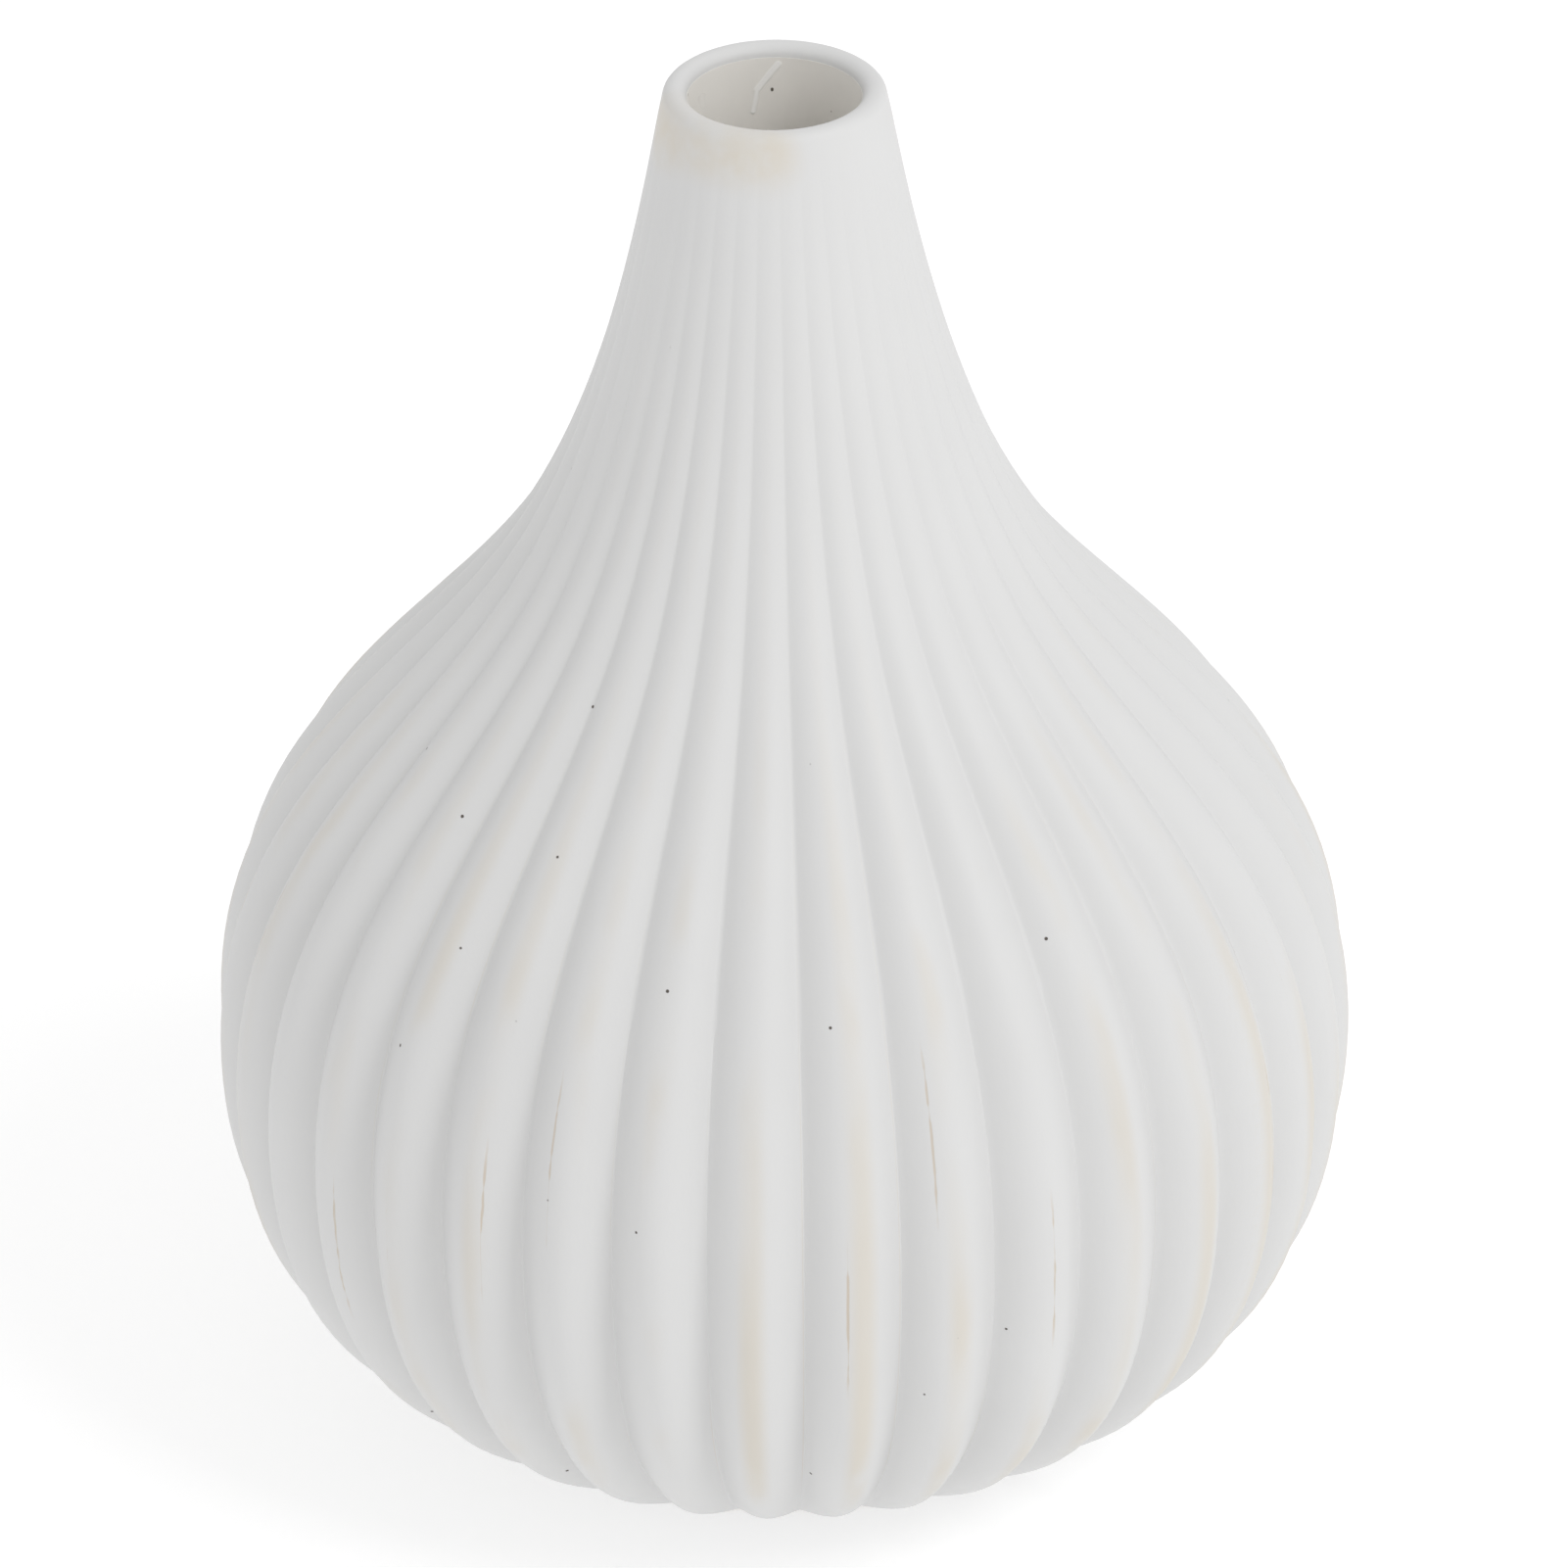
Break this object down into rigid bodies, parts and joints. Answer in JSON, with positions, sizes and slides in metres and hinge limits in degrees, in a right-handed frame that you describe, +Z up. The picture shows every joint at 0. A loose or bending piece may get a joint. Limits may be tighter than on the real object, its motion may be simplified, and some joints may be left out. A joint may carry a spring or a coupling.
{
  "type": "bud vase",
  "caption": "Onion-shaped ribbed ceramic bud vase with a slender tapering neck, a small round mouth and a flat foot ring.",
  "frame": {"origin": "centre of the foot, on the surface that the vase stands on", "axes": "+Z up along the vase's axis, -Y towards the front, +X to the right seen from the front"},
  "size_m": [0.0938, 0.0938, 0.12],
  "materials": {
    "fired_clay": "bare fired stoneware, warm buff, seen only on the foot ring and under it",
    "matt_white_coat": "matt, very fine grained, thin and warmer along the rib crests",
    "inner_glaze": "satin to glossy clear glaze over buff clay"
  },
  "bodies": {
    "root": {"vase_body": "fired_clay", "matt_white_coat": "matt_white_coat", "inner_glaze": "inner_glaze"}
  },
  "joints": []
}
